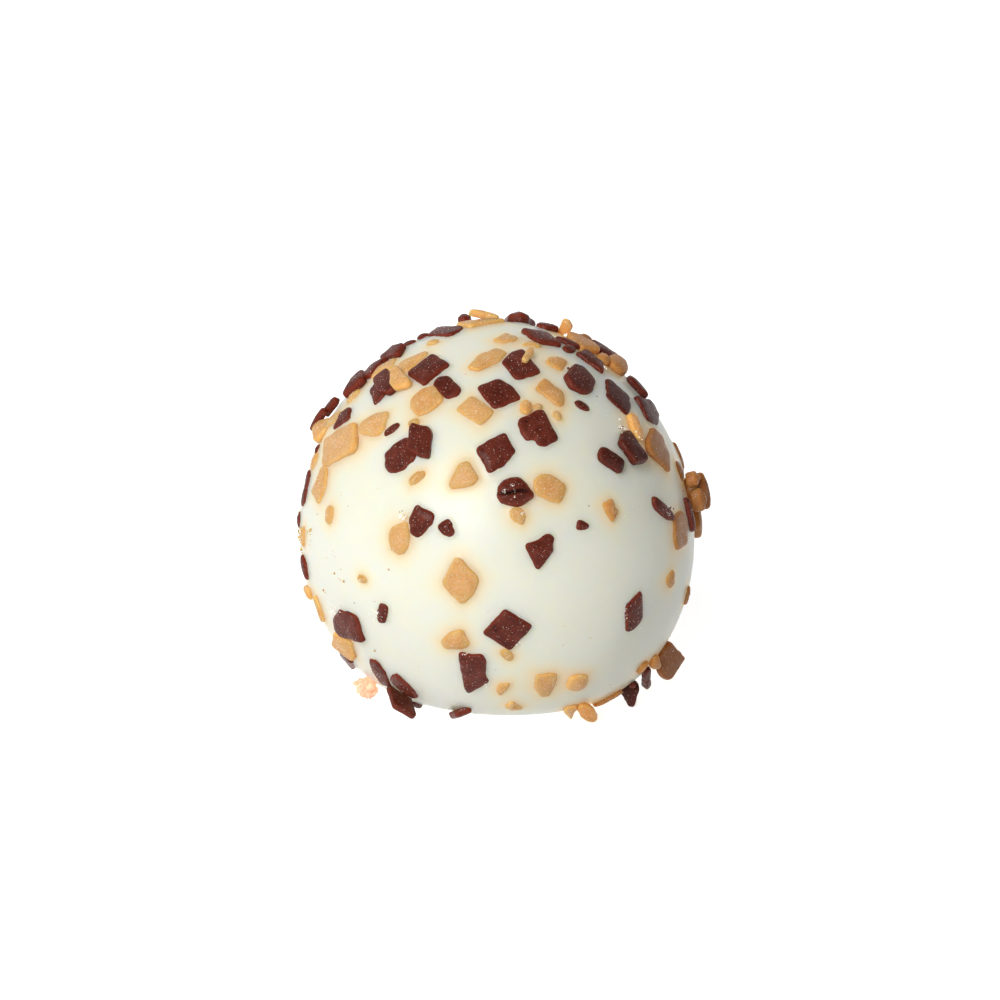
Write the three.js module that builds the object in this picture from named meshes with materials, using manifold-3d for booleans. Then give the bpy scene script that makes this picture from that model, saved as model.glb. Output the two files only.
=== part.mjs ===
// A hot chocolate sphere: a solid ball of white chocolate with a coat of dark chocolate and caramel flakes.
// Millimetres, +Z up. The origin is the middle of the flat foot, and the side shown faces -Y.

import * as THREE from 'three';
import { mergeVertices } from 'three/addons/utils/BufferGeometryUtils.js';
import Module from 'manifold-3d';

// Driving dimensions of the ball
const BALL_WIDTH = 52;       // across the widest level
const BELLY_HEIGHT = 21.3;   // height of the widest level above the foot
const CROWN_RISE = 0.083;    // how much further the top reaches than half the width
const CROWN_POWER = 2.5;     // how late the rise sets in on the way up
const FOOT_POWER = 12;       // how tightly the ball turns in to its foot
const FOOT_SETTLE = 0.35;    // depth by which the foot is pressed flat
const LEAN_TOP = 0.03;       // fuller on the left above the belly and on the right below it
const LEAN_FOOT = 0.02;
const BALL_DETAIL = 6;       // how often each edge of the icosahedron is divided

// Driving dimensions of the flakes
const FLAKE_THICK = 1.1;
const FLAKE_SINK = 0.6;      // how deep a flake is pressed into the ball
const EDGE_BEVEL = 0.25;     // worn edge of a large flake
const CORNER_CUT = 0.14;     // share of each side that a worn corner takes
const LARGE_FLAKE = 4.4;     // from this length on, corners and edges are worn
const MIDDLE_FLAKE = 3.5;    // from this length on, corners are worn

// The side that isn't shown is strewn by a rule
const STREWN_SPOTS = 350;
const STREWN_SEED = 20611;
const STREWN_JITTER = 7;     // degrees
const STREWN_LONG = [2.2, 5.4];
const STREWN_SMALL = 1.6;    // how much more often small flakes fall than large ones
const STREWN_SLIM = [0.52, 0.95];
const STREWN_LOWEST = -47;   // latitude below which nothing is strewn
const STREWN_CROWN = 0.75;   // height on the unit ball above which the coat is dense
const STREWN_BELLY = -0.1;   // height on the unit ball below which it is sparse
const STREWN_BARE = [0.05, 0.52];  // share of the spots left bare, dense and sparse
const STREWN_COCOA = 0.52;   // share of the strewn flakes that are dark
const STREWN_CLEARANCE = 0.43;
const SHOWN_LIMIT = -0.13;   // spots that turn further to the view than this are set by hand
const VIEW_ELEVATION = 14;

const GOLDEN_ANGLE = 180 * (3 - Math.sqrt(5));
const BALL_CENTRE = new THREE.Vector3(0, 0, BELLY_HEIGHT);

// Outlines of broken flakes, one unit long and one unit wide, counter-clockwise
const FORMS = {
  square: [[-0.5, -0.44], [0.44, -0.5], [0.5, 0.42], [-0.42, 0.5]],
  bar: [[-0.47, -0.5], [0.5, -0.42], [0.46, 0.5], [-0.5, 0.4]],
  rhomb: [[-0.5, 0.04], [-0.02, -0.5], [0.5, -0.06], [0.04, 0.5]],
  kite: [[-0.5, -0.02], [0.12, -0.5], [0.5, 0.02], [0.14, 0.5]],
  trapeze: [[-0.5, -0.5], [0.5, -0.42], [0.28, 0.5], [-0.3, 0.42]],
  leaning: [[-0.5, -0.44], [0.24, -0.5], [0.5, 0.42], [-0.2, 0.5]],
  wedge: [[-0.5, -0.4], [0.3, -0.5], [0.5, -0.12], [-0.02, 0.5]],
  sail: [[-0.5, 0.26], [-0.5, 0.04], [0.2, -0.5], [0.5, -0.5], [0.34, 0.5], [-0.2, 0.5]],
  tile: [[-0.5, -0.5], [-0.02, -0.5], [0.5, -0.24], [0.5, 0.48], [0.1, 0.5], [-0.46, 0.46]],
  pebble: [[-0.5, -0.12], [-0.2, -0.5], [0.3, -0.44], [0.5, 0.04], [0.22, 0.5], [-0.32, 0.4]],
  bean: [[-0.5, -0.2], [-0.1, -0.5], [0.44, -0.36], [0.5, 0.2], [0.1, 0.5], [-0.4, 0.34]],
  nib: [[-0.5, 0.44], [-0.48, -0.42], [-0.34, -0.5], [0.12, -0.5], [0.5, -0.05], [0.5, 0.32], [0.34, 0.5]],
  slate: [[-0.5, -0.5], [0.2, -0.5], [0.36, -0.32], [0.5, 0.4], [0.42, 0.5], [-0.25, 0.46], [-0.42, 0.02]],
  chunk: [
    [-0.5, 0.1], [-0.4, -0.4], [0.1, -0.5], [0.42, -0.46],
    [0.5, -0.2], [0.46, 0.3], [-0.05, 0.5], [-0.34, 0.38],
  ],
  lump: [
    [-0.32, -0.42], [-0.1, -0.5], [0.36, -0.46], [0.5, 0.1],
    [0.36, 0.46], [-0.32, 0.5], [-0.5, 0.16], [-0.46, -0.2],
  ],
  fan: [
    [-0.5, -0.24], [0.12, -0.5], [0.34, -0.5], [0.5, -0.38],
    [0.5, 0.4], [0.38, 0.5], [0.12, 0.5], [-0.5, 0.02],
  ],
  fist: [
    [-0.5, -0.44], [0.02, -0.5], [0.5, -0.2], [0.5, 0.2],
    [0.2, 0.36], [-0.06, 0.5], [-0.34, 0.5], [-0.46, 0.36],
  ],
  slab: [
    [-0.5, -0.48], [0.36, -0.46], [0.5, -0.36], [0.22, 0.5],
    [0.02, 0.38], [-0.3, 0.5], [-0.46, 0.38], [-0.44, 0.1],
  ],
  pear: [
    [-0.5, 0.5], [-0.48, 0], [-0.38, -0.36], [-0.1, -0.5], [0.26, -0.5],
    [0.5, -0.18], [0.5, 0.04], [0.28, 0.38], [0.04, 0.5],
  ],
  diamond: [
    [-0.5, 0.4], [-0.3, -0.42], [-0.18, -0.5], [0.42, -0.5], [0.5, -0.38],
    [0.5, 0], [0.36, 0.42], [0.2, 0.5], [-0.4, 0.5],
  ],
  boot: [
    [-0.5, 0.12], [-0.46, -0.12], [-0.26, -0.2], [-0.26, -0.4], [-0.12, -0.5],
    [0.4, -0.5], [0.5, 0.42], [0.36, 0.5], [-0.26, 0.5], [-0.4, 0.36],
  ],
  tooth: [
    [-0.5, 0.2], [-0.44, -0.06], [-0.5, -0.46], [-0.36, -0.5], [0.4, -0.5],
    [0.5, -0.42], [0.16, 0.28], [-0.06, 0.34], [-0.24, 0.5], [-0.42, 0.44],
  ],
};
const STREWN_FORMS = [
  'square', 'rhomb', 'kite', 'trapeze', 'leaning',
  'wedge', 'pebble', 'bean', 'bar', 'nib',
];

// Flakes that show, each as longitude, latitude and turn in degrees, length and width in millimetres,
// form, and extras: lift off the ball, tilt of the far side, and thickness. Longitude 0 is the middle
// of the side shown.
const COCOA_CROWN = [
  [-86, 62, 28, 5.0, 2.4, 'trapeze', { lift: 0.3, tilt: 12 }],
  [-84, 54, 50, 4.4, 3.8, 'leaning', { lift: 0.3 }],
  [-83, 49, 68, 3.6, 4.1, 'trapeze', { lift: 0.6, thick: 1.4 }],
  [-58, 53, -23, 5.5, 2.6, 'nib', { lift: 0.5 }],
  [-60, 50, 72, 2.2, 4.3, 'trapeze'],
  [-40, 61, -14, 4.3, 4.7, 'square', { lift: 0.2 }],
  [-24, 56, -33, 4.4, 2.6, 'lump'],
  [-86, 76, 38, 6.2, 3.6, 'diamond'],
  [-95, 70, 60, 1.9, 1.5, 'bean', { lift: 0.1 }],
  [-93, 66, 50, 2.4, 1.2, 'bean'],
  [-137, 77.5, 40, 3.3, 1.8, 'pebble', { lift: 0.4, thick: 1.6 }],
  [160.5, 75.3, 0, 4.5, 4.2, 'tooth', { tilt: 10, thick: 1.8 }],
  [113, 75.3, 158, 3.2, 3.0, 'wedge', { lift: 0.2, tilt: 6 }],
  [53, 75.3, -110, 4.6, 3.7, 'slate', { lift: 0.3 }],
  [14, 65, -162, 4.0, 5.1, 'tile'],
  [1, 55, 118, 4.3, 4.2, 'tile'],
  [73, 70, -75, 3.6, 2.0, 'kite', { lift: 0.2 }],
  [62, 68, -4, 2.2, 1.5, 'bean', { lift: 0.2 }],
  [68, 61.5, -89, 4.3, 2.8, 'slab', { lift: 0.2, tilt: 4 }],
  [44, 57, 32, 5.0, 4.1, 'lump', { tilt: 10 }],
  [37, 49, -46, 2.2, 1.3, 'pebble'],
  [98, 59, -75, 5.4, 3.0, 'bar', { lift: 0.3, tilt: 10, thick: 1.4 }],
];
const COCOA_LEFT = [
  [-71, 40, 37, 3.7, 2.6, 'trapeze', { tilt: 3 }],
  [-90, 34, 76, 3.6, 1.3, 'bar', { lift: 1.4 }],
  [-90, 39, 58, 3.6, 1.3, 'bean', { lift: 0.8, tilt: 15 }],
  [-40, 41, 50, 2.4, 1.1, 'bean'],
  [-33, 34, 137, 4.0, 4.6, 'chunk'],
  [-27, 39, 99, 4.8, 3.2, 'slate', { lift: 0.4 }],
  [-80, 28, 80, 1.4, 1.2, 'bean'],
  [-77, 17, -82, 4.9, 1.8, 'trapeze'],
  [-81, 7, 90, 2.2, 1.8, 'bean'],
  [-73, -5, -64, 3.4, 2.8, 'rhomb', { tilt: 5 }],
  [-22, 17, -108, 3.8, 3.2, 'fist'],
  [-14, 16, -47, 2.3, 2.0, 'fist'],
  [-50, -17, -179, 5.8, 4.3, 'nib', { tilt: 6 }],
  [-34, -10, 73, 3.1, 1.7, 'chunk'],
];
const COCOA_FRONT = [
  [0, 37, 27, 4.4, 4.0, 'tile'],
  [15, 43.3, 24, 4.4, 4.8, 'boot'],
  [5, 26, -148, 4.1, 3.9, 'pear', { thick: 1.7 }],
  [13, 10, -67, 3.6, 3.8, 'tooth'],
  [25, 16, -13, 1.8, 1.3, 'fist'],
  [3, -12, -41, 4.5, 4.8, 'bar'],
  [-7, -27, -87, 7.0, 3.5, 'slab'],
];
const COCOA_RIGHT = [
  [60.5, 49.3, -67, 4.7, 4.3, 'diamond'],
  [87, 48, 90, 3.6, 3.6, 'tile', { lift: 0.3, tilt: 6 }],
  [78, 41.3, -25, 5.6, 4.1, 'nib', { tilt: 4 }],
  [49, 34, 178, 3.1, 4.9, 'tile', { lift: 0.1, tilt: 18 }],
  [39.3, 32.3, -45, 4.0, 2.3, 'bar', { thick: 1.7 }],
  [56.6, 15.4, -36, 5.1, 1.8, 'pear', { lift: 0.1, tilt: 6 }],
  [74, 10, 106, 4.9, 1.7, 'fist', { lift: 0.2, tilt: 8 }],
  [42, -11, -77, 5.1, 3.1, 'diamond'],
];
const COCOA_FOOT = [
  [-67, -34, 33, 5.4, 3.0, 'bar', { lift: 0.1 }],
  [-44, -33.4, 170, 2.8, 5.5, 'pebble'],
  [-35, -37, -62, 4.7, 2.9, 'pear', { lift: 0.1 }],
  [-37.7, -42, -56, 4.5, 4.0, 'leaning', { lift: 0.1, tilt: 45 }],
  [-40.5, -50.5, 170, 1.3, 2.4, 'pebble', { tilt: 9 }],
  [-17, -47.5, 51, 4.2, 2.1, 'trapeze', { tilt: 36 }],
  [66, -46, 109, 3.4, 3.4, 'wedge', { lift: 0.1, tilt: 55 }],
  [70, -40, -137, 1.2, 5.4, 'diamond', { tilt: 19 }],
];
const CARAMEL_CROWN = [
  [-75, 57, 52, 3.7, 2.8, 'bar'],
  [-51, 55, 70, 2.4, 4.8, 'fan', { lift: 0.6, tilt: 5 }],
  [-56, 62.5, -113, 4.4, 3.2, 'fan'],
  [-64, 71, 30, 1.9, 1.4, 'bean'],
  [-31, 51, -37, 4.1, 4.3, 'lump'],
  [-8.5, 49.3, -31, 4.3, 3.0, 'square'],
  [-6.5, 67, 138, 2.9, 5.6, 'pebble'],
  [10, 77, -50, 2.4, 3.1, 'nib'],
  [20.5, 67, 50, 2.9, 0.9, 'bar', { lift: 0.7 }],
  [39, 64.5, 125, 2.5, 2.9, 'nib'],
  [25.5, 54.3, 36, 2.6, 4.3, 'tile'],
  [-121, 85.1, -27, 5.9, 3.6, 'bar', { lift: 0.1 }],
  [-134, 85, -124, 1.6, 4.1, 'wedge', { lift: 0.5, tilt: 18 }],
  [33.5, 73.5, -25, 2.6, 1.6, 'wedge'],
  [109, 71, 61, 1.8, 3.0, 'sail', { tilt: 52 }],
  [88, 67, -148, 5.4, 3.4, 'fan', { lift: 0.2, tilt: 14 }],
  [106, 65, -60, 3.4, 2.6, 'pebble', { lift: 0.1, thick: 1.9 }],
  [81, 60, -79, 1.9, 2.5, 'pebble', { lift: 0.2, tilt: 7, thick: 1.4 }],
  [87, 56, -92, 3.1, 4.4, 'pebble', { lift: 0.3, tilt: 11, thick: 1.4 }],
];
const CARAMEL_LEFT = [
  [-77, 46, 60, 2.6, 2.2, 'pebble'],
  [-80, 37.5, 30, 4.6, 2.2, 'trapeze'],
  [-63, 33, -48, 5.8, 7.7, 'slate', { lift: -0.2, tilt: 4 }],
  [-86, 32, 122, 3.4, 4.2, 'fan', { tilt: 19 }],
  [-50, 41, -158, 4.7, 3.6, 'fist'],
  [-65, 21, 72, 4.5, 3.6, 'nib'],
  [-78, 25, 80, 2.4, 2.4, 'pebble'],
  [-32, 44, -143, 1.6, 1.1, 'pear'],
  [-25, 29, 121, 1.5, 2.5, 'pear'],
  [-56, 14, 94, 2.5, 1.9, 'pebble'],
  [-40, -1, 179, 1.6, 1.1, 'bean'],
  [-28, 12, -72, 3.9, 3.2, 'pear'],
  [-73, 4, 88, 2.8, 1.9, 'pebble'],
  [-75, -13, 87, 1.6, 2.8, 'trapeze', { lift: 0.3 }],
  [-67, -17, -105, 4.3, 1.6, 'trapeze', { lift: 0.1 }],
  [-57, -26, 107, 4.4, 4.6, 'kite', { tilt: 12 }],
];
const CARAMEL_FRONT = [
  [-11, 30, 33, 3.7, 3.3, 'fan'],
  [12, 50, -101, 2.1, 1.6, 'pebble', { lift: 0.1, thick: 1.3 }],
  [17, 50, -38, 1.3, 1.1, 'pebble'],
  [24, 47, 107, 1.5, 1.1, 'pebble'],
  [16, 27, -22, 4.2, 3.3, 'chunk'],
  [6, 20, 153, 2.3, 1.9, 'pear'],
  [35, 19, -68, 2.7, 1.8, 'slab', { thick: 1.3 }],
  [-10, 2, -44, 4.8, 4.3, 'diamond'],
  [-12, -16, -154, 3.7, 2.9, 'fist'],
  [3, -20, 131, 2.1, 1.3, 'lump'],
  [2, -33, 83, 2.6, 1.6, 'sail'],
  [6, -42, 126, 2.6, 1.7, 'trapeze'],
  [16, -32, -81, 4.6, 3.0, 'fist'],
  [27, -32, 180, 3.1, 3.1, 'chunk', { thick: 1.5 }],
];
const CARAMEL_RIGHT = [
  [57, 39.5, 70, 3.8, 1.7, 'bar', { lift: 0.3, thick: 1.5 }],
  [66, 32, 47, 5.2, 5.6, 'fist', { tilt: 4 }],
  [95, 23, 27, 2.8, 3.4, 'bar'],
  [78, 22.5, 110, 2.7, 2.6, 'fist'],
  [83, 14, -84, 4.6, 3.0, 'pebble', { lift: 0.5, thick: 1.6 }],
  [86, 13.5, -84, 5.2, 2.4, 'bean', { lift: 1.7, thick: 1.6 }],
  [81, 12.5, -81, 3.2, 2.4, 'bean', { lift: 1.1, thick: 1.8 }],
  [81, 18.5, -5, 2.2, 2.0, 'pebble', { lift: 1.0, thick: 1.8 }],
  [93, 3.5, -98, 4.7, 3.7, 'kite', { lift: 0.2, tilt: 9, thick: 1.4 }],
  [65.4, 7.8, -92, 4.8, 4.8, 'chunk'],
  [58, -5, -59, 2.3, 2.2, 'fist'],
  [75, -14, -103, 2.6, 1.3, 'leaning', { tilt: 5 }],
];
const CARAMEL_FOOT = [
  [-62, -43, 0, 3.5, 3.3, 'pebble', { lift: 0.5, thick: 2.6 }],
  [76, -34.3, -122, 4.2, 4.9, 'nib', { lift: 0.1, tilt: 42 }],
  [66, -33.5, -134, 1.6, 2.8, 'fist', { lift: 0.2, tilt: 19 }],
  [57, -33, 68, 2.1, 1.2, 'trapeze', { tilt: 18 }],
  [52, -46, 50, 4.3, 1.6, 'sail', { lift: 0.1, tilt: 4 }],
  [40, -47, -115, 2.0, 3.6, 'pebble', { lift: 0.2, tilt: 40 }],
  [33, -48.5, -155, 1.8, 3.3, 'wedge', { tilt: 19 }],
];

const wasm = await Module();
wasm.setup();

// Unit vector of a longitude and latitude
function direction(lon, lat) {
  const [east, up] = [lon, lat].map(THREE.MathUtils.degToRad);
  return new THREE.Vector3(Math.sin(east) * Math.cos(up), -Math.cos(east) * Math.cos(up), Math.sin(up));
}

// Reach of the ball from its centre along a unit vector
function reach(unit) {
  const half = BALL_WIDTH / 2;
  const lean = 1 + unit.x * unit.z * (LEAN_FOOT * unit.z - LEAN_TOP);
  if (unit.z >= 0) {
    return half * (1 + CROWN_RISE * unit.z ** CROWN_POWER) * lean;
  }
  const depth = BELLY_HEIGHT + FOOT_SETTLE;
  return (half ** -FOOT_POWER + (-unit.z / depth) ** FOOT_POWER) ** (-1 / FOOT_POWER) * lean;
}

function surfacePoint(lon, lat) {
  const unit = direction(lon, lat);
  return unit.clone().multiplyScalar(reach(unit)).add(BALL_CENTRE);
}

// Frame on the ball: x to the east, y to the north, z straight out
function seat(lon, lat) {
  const step = 0.2;
  const east = surfacePoint(lon + step, lat).sub(surfacePoint(lon - step, lat)).normalize();
  const north = surfacePoint(lon, lat + step).sub(surfacePoint(lon, lat - step)).normalize();
  const out = east.clone().cross(north).normalize();
  north.crossVectors(out, east);
  return new THREE.Matrix4().makeBasis(east, north, out).setPosition(surfacePoint(lon, lat));
}

function toSolid(geometry) {
  const bare = geometry.clone();
  bare.deleteAttribute('normal');
  bare.deleteAttribute('uv');
  const welded = mergeVertices(bare);
  return new wasm.Manifold(new wasm.Mesh({
    numProp: 3,
    vertProperties: new Float32Array(welded.attributes.position.array),
    triVerts: new Uint32Array(welded.index.array),
  }));
}

function toGeometry(solid) {
  const mesh = solid.getMesh();
  const geometry = new THREE.BufferGeometry();
  geometry.setAttribute('position', new THREE.BufferAttribute(mesh.vertProperties, 3));
  geometry.setIndex(new THREE.BufferAttribute(mesh.triVerts, 1));
  geometry.computeVertexNormals();
  return geometry;
}

function ballGeometry() {
  const geometry = new THREE.IcosahedronGeometry(1, BALL_DETAIL);
  const position = geometry.attributes.position;
  for (let i = 0; i < position.count; i++) {
    const unit = new THREE.Vector3().fromBufferAttribute(position, i).normalize();
    const point = unit.clone().multiplyScalar(reach(unit)).add(BALL_CENTRE);
    position.setXYZ(i, point.x, point.y, point.z);
  }
  return geometry;
}

// Outline of a flake at its size, its corners cut where they are worn
function flakeShape(form, long, wide, cut) {
  const corners = FORMS[form].map(([x, y]) => new THREE.Vector2(x * long, y * wide));
  if (cut === 0) {
    return new THREE.Shape(corners);
  }
  const shape = new THREE.Shape();
  corners.forEach((corner, i) => {
    const before = corner.clone().lerp(corners.at(i - 1), cut);
    const after = corner.clone().lerp(corners[(i + 1) % corners.length], cut);
    if (i === 0) {
      shape.moveTo(before.x, before.y);
    } else {
      shape.lineTo(before.x, before.y);
    }
    shape.quadraticCurveTo(corner.x, corner.y, after.x, after.y);
  });
  shape.closePath();
  return shape;
}

function flakeGeometry([lon, lat, turn, long, wide, form, extras = {}]) {
  const { lift = 0, tilt = 0, thick = FLAKE_THICK } = extras;
  const worn = FORMS[form].length === 4 && long >= MIDDLE_FLAKE;
  const bevelled = long >= LARGE_FLAKE;
  const bevel = bevelled ? EDGE_BEVEL : 0;
  const geometry = new THREE.ExtrudeGeometry(flakeShape(form, long, wide, worn ? CORNER_CUT : 0), {
    depth: thick - 2 * bevel,
    curveSegments: 1,
    bevelEnabled: bevelled,
    bevelThickness: bevel,
    bevelSize: bevel,
    bevelOffset: -bevel,
    bevelSegments: 1,
  });
  geometry.translate(0, 0, bevel);
  const tiltAngle = THREE.MathUtils.degToRad(tilt);
  const hinge = Math.sin(tiltAngle) * wide / 2;
  geometry.rotateX(tiltAngle);
  geometry.rotateZ(THREE.MathUtils.degToRad(turn));
  geometry.translate(0, 0, lift + hinge - FLAKE_SINK);
  return geometry.applyMatrix4(seat(lon, lat));
}

// Repeatable draws between 0 and 1
function seededDraws(seed) {
  let state = seed;
  return () => {
    state = (state + 0x6d2b79f5) | 0;
    let mixed = Math.imul(state ^ (state >>> 15), 1 | state);
    mixed = (mixed + Math.imul(mixed ^ (mixed >>> 7), 61 | mixed)) ^ mixed;
    return ((mixed ^ (mixed >>> 14)) >>> 0) / 4294967296;
  };
}

// Flakes of the side that isn't shown, on a jittered spiral, clear of the ones already set
function strewnFlakes(set) {
  const draw = seededDraws(STREWN_SEED);
  const between = ([low, high], share) => low + (high - low) * share;
  const elevation = THREE.MathUtils.degToRad(VIEW_ELEVATION);
  const towardsView = new THREE.Vector3(0, -Math.cos(elevation), Math.sin(elevation));
  const taken = set.map(([lon, lat, , long]) => ({ unit: direction(lon, lat), long }));
  const strewn = { cocoa: [], caramel: [] };
  for (let k = 0; k < STREWN_SPOTS; k++) {
    const rise = Math.asin(1 - (2 * k + 1) / STREWN_SPOTS);
    const lat = THREE.MathUtils.radToDeg(rise) + (draw() - 0.5) * STREWN_JITTER;
    const lon = (k * GOLDEN_ANGLE + (draw() - 0.5) * STREWN_JITTER) % 360;
    const [bare, kind, formShare, size, slim, turn] = Array.from({ length: 6 }, draw);
    const unit = direction(lon, lat);
    const long = between(STREWN_LONG, size ** STREWN_SMALL);
    const shown = unit.dot(towardsView) > SHOWN_LIMIT;
    const thinning = 1 - THREE.MathUtils.smoothstep(unit.z, STREWN_BELLY, STREWN_CROWN);
    const low = lat < STREWN_LOWEST || bare < between(STREWN_BARE, thinning);
    const gap = (other) => unit.distanceTo(other.unit) * BALL_WIDTH / 2;
    const crowded = taken.some((other) => gap(other) < STREWN_CLEARANCE * (long + other.long));
    if (shown || low || crowded) {
      continue;
    }
    const form = STREWN_FORMS[Math.floor(formShare * STREWN_FORMS.length)];
    const row = [lon, lat, turn * 360, long, long * between(STREWN_SLIM, slim), form];
    taken.push({ unit, long });
    strewn[kind < STREWN_COCOA ? 'cocoa' : 'caramel'].push(row);
  }
  return strewn;
}

function floorBlock() {
  const side = 4 * BALL_WIDTH;
  const geometry = new THREE.BoxGeometry(side, side, side);
  return geometry.translate(0, 0, -side / 2);
}

const setByHand = [
  COCOA_CROWN, COCOA_LEFT, COCOA_FRONT, COCOA_RIGHT, COCOA_FOOT,
  CARAMEL_CROWN, CARAMEL_LEFT, CARAMEL_FRONT, CARAMEL_RIGHT, CARAMEL_FOOT,
].flat();
const strewn = strewnFlakes(setByHand);

let coated = toSolid(ballGeometry());
for (const row of [...setByHand, ...strewn.cocoa, ...strewn.caramel]) {
  coated = coated.add(toSolid(flakeGeometry(row)));
}
coated = coated.subtract(toSolid(floorBlock()));

const ivory = new THREE.MeshStandardMaterial({ color: 0xece6d4, roughness: 0.35, metalness: 0 });
const sphere = new THREE.Mesh(toGeometry(coated), ivory);
sphere.name = 'coated_sphere';

const object = new THREE.Group();
object.add(sphere);
export default object;
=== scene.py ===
"""Looks of a hot chocolate sphere: a ball of white chocolate coated with dark chocolate and caramel flakes.

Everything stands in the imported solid's own frame: +Z up, the origin in the middle of the flat foot, and the
side shown facing -Y. Sizes are millimetres and angles degrees, and a mesh turns into metres when it is made.
"""

import logging
from collections.abc import Sequence
from dataclasses import dataclass, field
from enum import Enum
from functools import cached_property
from itertools import combinations
from math import asin, cos, degrees, pi, radians, sin, sqrt

import bpy
import numpy as np
from bpy.types import ID, Material, NodeSocket, Object, World
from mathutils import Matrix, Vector, noise
from numpy.linalg import det, norm, qr
from numpy.random import Generator, default_rng


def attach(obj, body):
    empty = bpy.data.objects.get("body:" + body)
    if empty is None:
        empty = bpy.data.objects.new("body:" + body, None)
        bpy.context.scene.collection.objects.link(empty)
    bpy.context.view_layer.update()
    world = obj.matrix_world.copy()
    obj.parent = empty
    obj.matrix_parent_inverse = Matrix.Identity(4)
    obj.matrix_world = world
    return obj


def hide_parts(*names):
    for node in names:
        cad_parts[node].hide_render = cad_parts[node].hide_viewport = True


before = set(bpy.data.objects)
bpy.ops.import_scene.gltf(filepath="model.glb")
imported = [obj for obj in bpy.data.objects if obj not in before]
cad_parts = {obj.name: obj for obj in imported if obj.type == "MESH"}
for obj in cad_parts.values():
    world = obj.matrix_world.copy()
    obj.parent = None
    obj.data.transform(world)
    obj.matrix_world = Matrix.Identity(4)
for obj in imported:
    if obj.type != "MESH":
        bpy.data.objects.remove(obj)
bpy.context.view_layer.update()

log = logging.getLogger("hot_chocolate_sphere")

MM = 0.001
SOLID = "coated_sphere"
BODY = "root"

Array = np.ndarray
Colour = tuple[float, float, float, float]
BLACK: Colour = (0.0, 0.0, 0.0, 1.0)


def screen(red: int, green: int, blue: int) -> Colour:
    """Return the linear colour of a screen colour, whose shares run from 0 to 255."""
    shares = [value / 255 for value in (red, green, blue)]
    return (*(share / 12.92 if share <= 0.04045 else ((share + 0.055) / 1.055) ** 2.4 for share in shares), 1.0)


class Form(Enum):
    """Outlines of broken flakes in hundredths of their length and width: x and y in turn, counter-clockwise."""

    SQUARE = (-50, -44, 44, -50, 50, 42, -42, 50)
    BAR = (-47, -50, 50, -42, 46, 50, -50, 40)
    RHOMB = (-50, 4, -2, -50, 50, -6, 4, 50)
    KITE = (-50, -2, 12, -50, 50, 2, 14, 50)
    TRAPEZE = (-50, -50, 50, -42, 28, 50, -30, 42)
    LEANING = (-50, -44, 24, -50, 50, 42, -20, 50)
    WEDGE = (-50, -40, 30, -50, 50, -12, -2, 50)
    SAIL = (-50, 26, -50, 4, 20, -50, 50, -50, 34, 50, -20, 50)
    TILE = (-50, -50, -2, -50, 50, -24, 50, 48, 10, 50, -46, 46)
    PEBBLE = (-50, -12, -20, -50, 30, -44, 50, 4, 22, 50, -32, 40)
    BEAN = (-50, -20, -10, -50, 44, -36, 50, 20, 10, 50, -40, 34)
    NIB = (-50, 44, -48, -42, -34, -50, 12, -50, 50, -5, 50, 32, 34, 50)
    SLATE = (-50, -50, 20, -50, 36, -32, 50, 40, 42, 50, -25, 46, -42, 2)
    CHUNK = (-50, 10, -40, -40, 10, -50, 42, -46, 50, -20, 46, 30, -5, 50, -34, 38)
    LUMP = (-32, -42, -10, -50, 36, -46, 50, 10, 36, 46, -32, 50, -50, 16, -46, -20)
    FAN = (-50, -24, 12, -50, 34, -50, 50, -38, 50, 40, 38, 50, 12, 50, -50, 2)
    FIST = (-50, -44, 2, -50, 50, -20, 50, 20, 20, 36, -6, 50, -34, 50, -46, 36)
    SLAB = (-50, -48, 36, -46, 50, -36, 22, 50, 2, 38, -30, 50, -46, 38, -44, 10)
    PEAR = (-50, 50, -48, 0, -38, -36, -10, -50, 26, -50, 50, -18, 50, 4, 28, 38, 4, 50)
    DIAMOND = (-50, 40, -30, -42, -18, -50, 42, -50, 50, -38, 50, 0, 36, 42, 20, 50, -40, 50)
    BOOT = (-50, 12, -46, -12, -26, -20, -26, -40, -12, -50, 40, -50, 50, 42, 36, 50, -26, 50, -40, 36)
    TOOTH = (-50, 20, -44, -6, -50, -46, -36, -50, 40, -50, 50, -42, 16, 28, -6, 34, -24, 50, -42, 44)


STREWN_FORMS = (
    Form.SQUARE, Form.RHOMB, Form.KITE, Form.TRAPEZE, Form.LEANING,
    Form.WEDGE, Form.PEBBLE, Form.BEAN, Form.BAR, Form.NIB,
)


class Kind(Enum):
    """What a flake is made of."""

    COCOA = "cocoa"
    CARAMEL = "caramel"


@dataclass(frozen=True)
class Flake:
    """One flake: where it is seated, how it is turned, its size and outline, how it lies, and how dark it is,
    where a set tone is painted shade.
    """

    lon: float
    lat: float
    turn: float
    long: float
    wide: float
    form: Form
    lift: float = 0.0
    tilt: float = 0.0
    tone: float = 0.0
    thick: float = 1.1
    crease: float | None = None

    @property
    def corners(self) -> Array:
        """Return the corners of its outline, in order."""
        return np.reshape(self.form.value, (-1, 2)) / 100 * (self.long, self.wide)


@dataclass(frozen=True)
class Crumbs:
    """Crumbs round one spot: their number, reach and size, and how high above the ball they lie."""

    lon: float
    lat: float
    count: int
    reach: float
    size: float
    height: float = 0.0
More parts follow.
